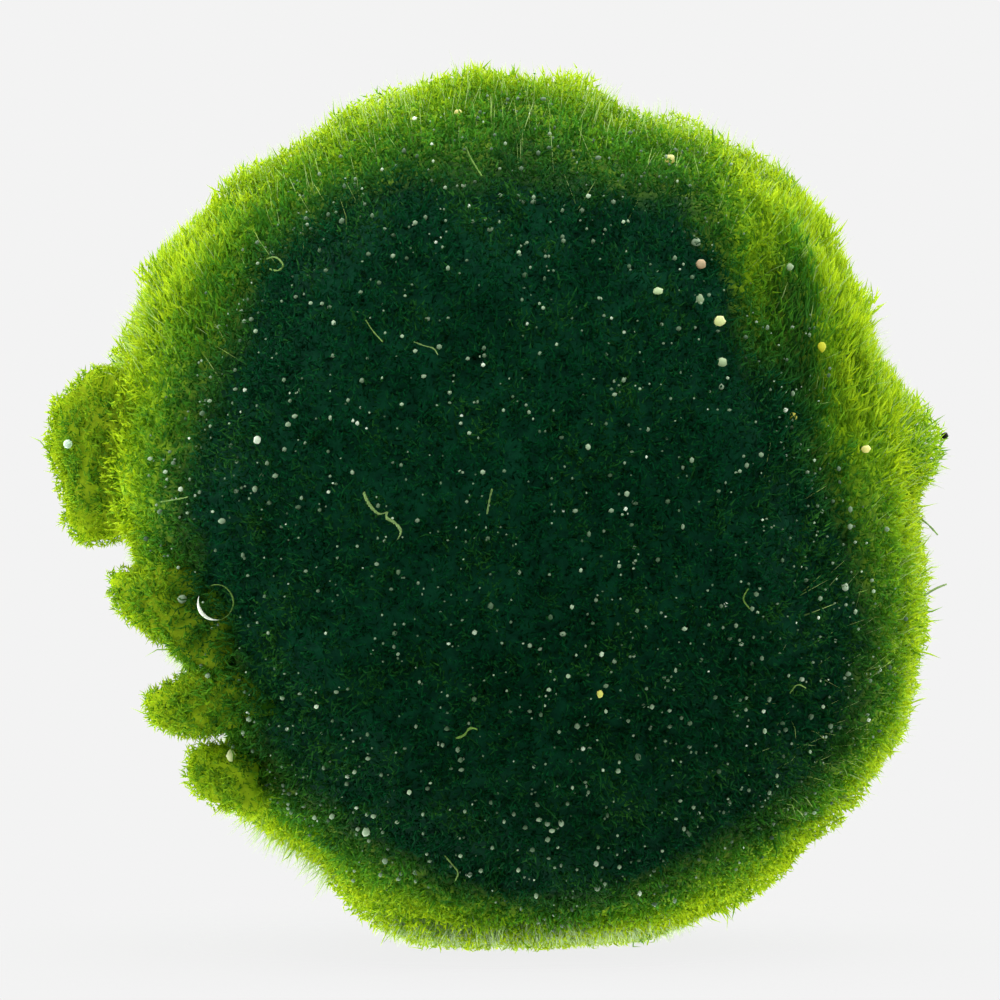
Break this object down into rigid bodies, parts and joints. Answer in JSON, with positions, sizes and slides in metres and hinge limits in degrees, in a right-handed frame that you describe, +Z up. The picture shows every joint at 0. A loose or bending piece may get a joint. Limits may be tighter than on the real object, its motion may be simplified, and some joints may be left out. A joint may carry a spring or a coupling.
{
  "type": "marimo moss ball",
  "caption": "Round clump of felted green algae with a tufted pile all over, torn open low on one side, resting on a small flat spot.",
  "frame": {"origin": "under the middle of the ball's bounding box, on the surface that it rests on", "axes": "+Z up as it rests, +X to the viewer's right, -Y towards the viewer; the torn side is low on -X"},
  "size_m": [0.0462, 0.045, 0.0445],
  "materials": {
    "algae_pile": "matt wet pile of fine algae filaments, deep green in the body and bright yellow-green at the lit tips",
    "silt_grain": "pale grains of silt and sand and shed threads caught in the pile",
    "gas_bubble": "clear, smooth"
  },
  "bodies": {
    "root": {"moss_ball": "algae_pile"}
  },
  "joints": []
}
